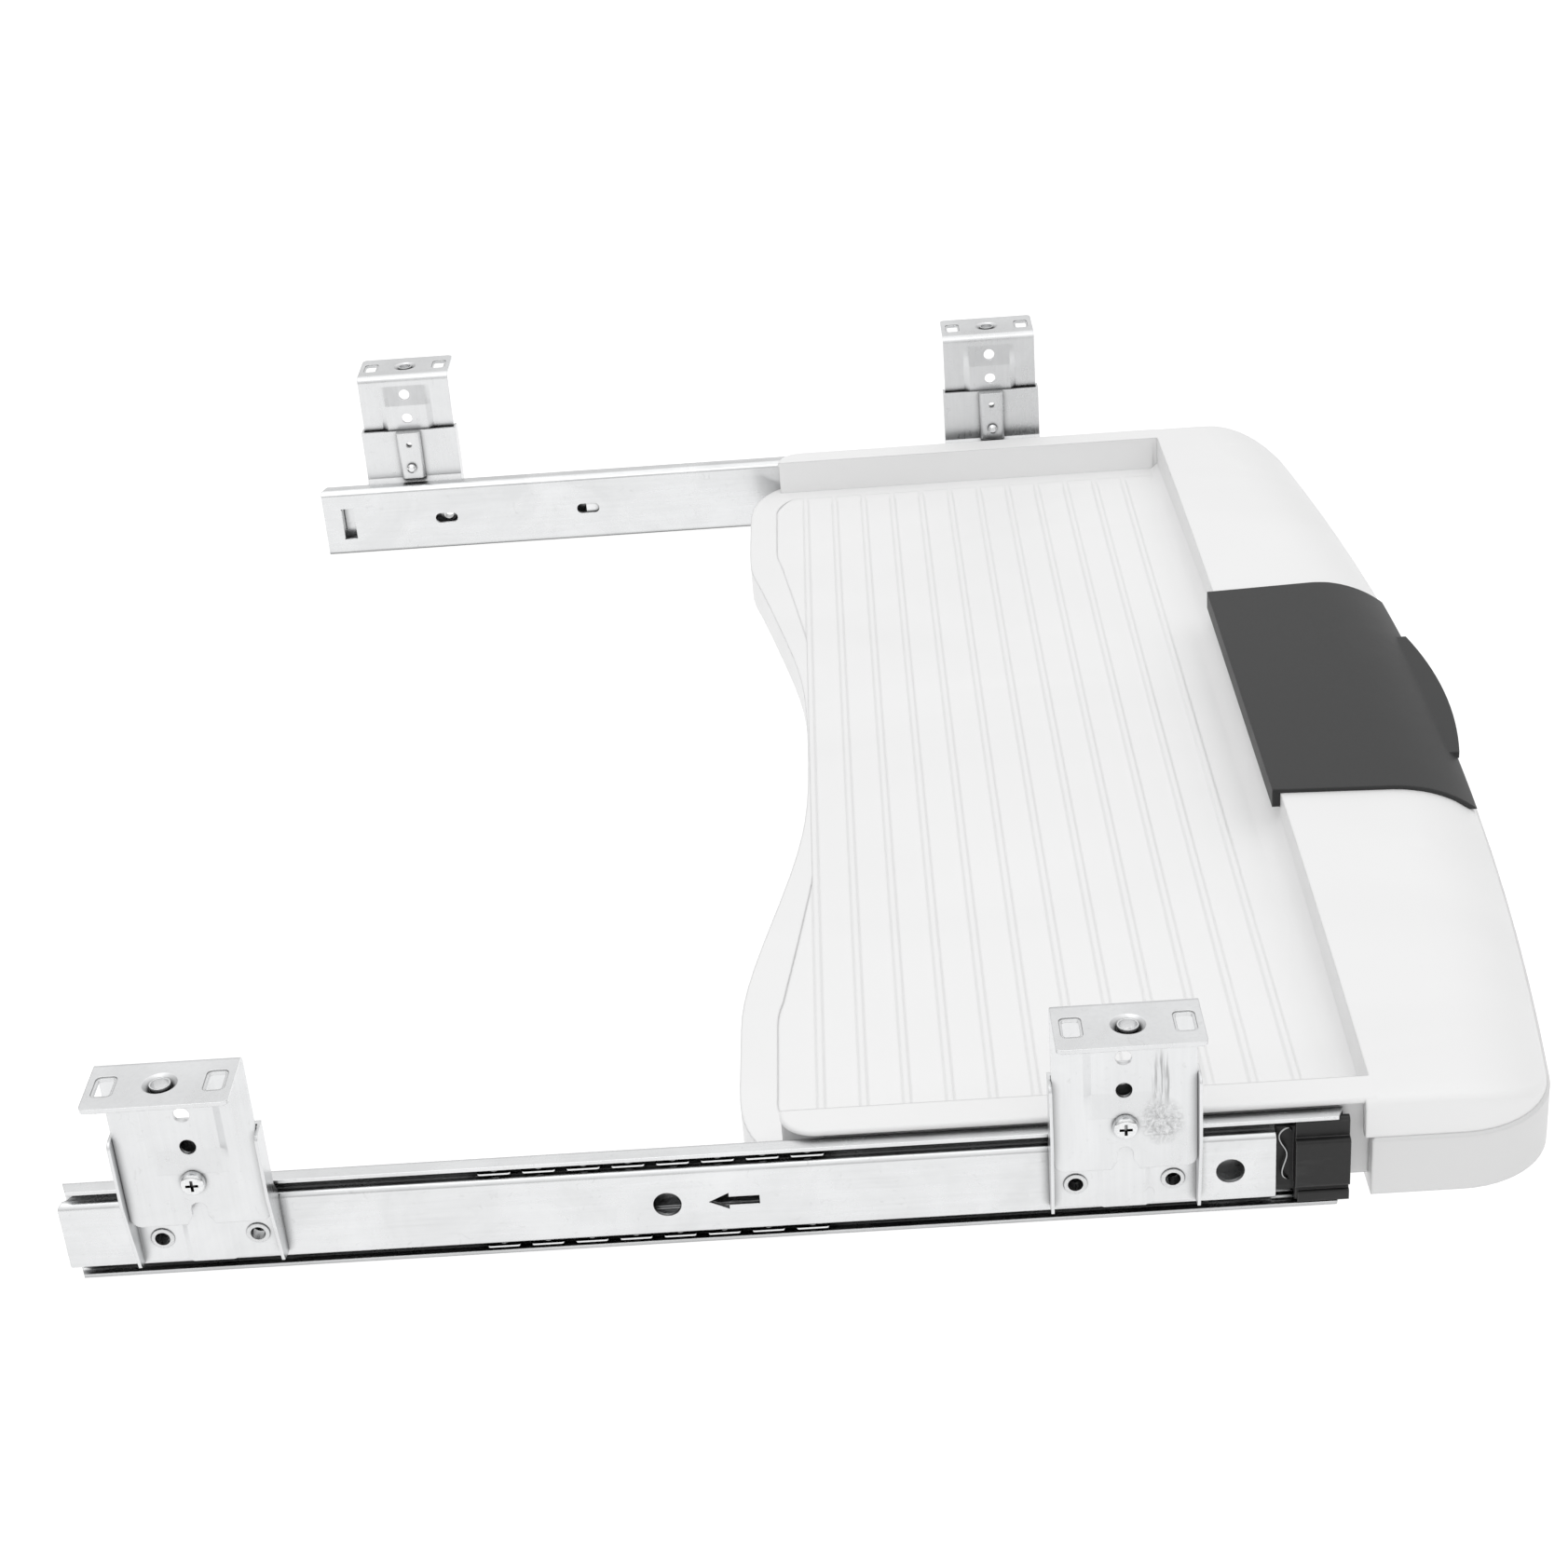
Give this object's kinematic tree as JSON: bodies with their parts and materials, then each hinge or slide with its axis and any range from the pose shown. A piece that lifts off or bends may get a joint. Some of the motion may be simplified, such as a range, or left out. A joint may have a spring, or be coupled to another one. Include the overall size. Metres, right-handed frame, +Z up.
{
  "type": "under desk keyboard drawer",
  "caption": "Keyboard tray that slides out from under a desk on two ball-bearing slides hung from height-adjustable brackets, with a dark grip cap at its front.",
  "frame": {"origin": "centre of the four desk screw holes, in the plane that touches the underside of the desk", "axes": "+Z up into the desk, +X to the right of the seated user, -Y towards the user, which is the way the drawer opens"},
  "size_m": [0.5622, 0.4303, 0.0751],
  "materials": {
    "bracket_steel": "bright zinc-plated pressed steel, faint drawing streaks",
    "slide_steel": "bright zinc-plated rolled steel, lengthwise streaks",
    "cage_steel": "thin pressed strip, satin",
    "ball_steel": "polished bearing balls, greased",
    "spring_steel": "bright spring wire",
    "rivet_steel": "bright rolled eyelet",
    "screw_zinc": "bright zinc-plated",
    "white_abs": "white moulded ABS, satin, very fine grain",
    "skirt_abs": "white moulded ABS, satin, very fine grain",
    "soft_black": "soft-touch charcoal moulding, satin",
    "black_plastic": "black moulded plastic"
  },
  "bodies": {
    "root": {"upper_bracket_rear_right": "bracket_steel", "upper_bracket_rear_left": "bracket_steel", "upper_bracket_front_right": "bracket_steel", "upper_bracket_front_left": "bracket_steel", "lower_bracket_rear_right": "bracket_steel", "lower_bracket_rear_left": "bracket_steel", "lower_bracket_front_right": "bracket_steel", "lower_bracket_front_left": "bracket_steel", "bracket_screws": "screw_zinc", "bracket_rivets": "rivet_steel", "slide_bar_right": "slide_steel", "slide_bar_left": "slide_steel"},
    "drawer": {"slide_channel_right": "slide_steel", "slide_channel_left": "slide_steel", "front_stop_right": "black_plastic", "front_stop_left": "black_plastic", "closing_clip_right": "spring_steel", "closing_clip_left": "spring_steel", "tray": "white_abs", "front_skirt": "skirt_abs", "grip_cap": "soft_black", "tray_screws": "screw_zinc", "skirt_screws": "screw_zinc"},
    "cage_right": {"ball_cage_right": "cage_steel", "slide_balls_right": "ball_steel"},
    "cage_left": {"ball_cage_left": "cage_steel", "slide_balls_left": "ball_steel"}
  },
  "joints": [
    {"name": "drawer_slide", "type": "slide", "parent": "root", "child": "drawer", "axis": [0, -1, 0], "range_m": [0, 0.2]},
    {"name": "cage_right_slide", "type": "slide", "parent": "root", "child": "cage_right", "axis": [0, -1, 0], "range_m": [0, 0.1]},
    {"name": "cage_left_slide", "type": "slide", "parent": "root", "child": "cage_left", "axis": [0, -1, 0], "range_m": [0, 0.1]}
  ],
  "couplings": [
    {"joint": "cage_right_slide", "follows": "drawer_slide", "ratio": 0.5},
    {"joint": "cage_left_slide", "follows": "drawer_slide", "ratio": 0.5}
  ]
}
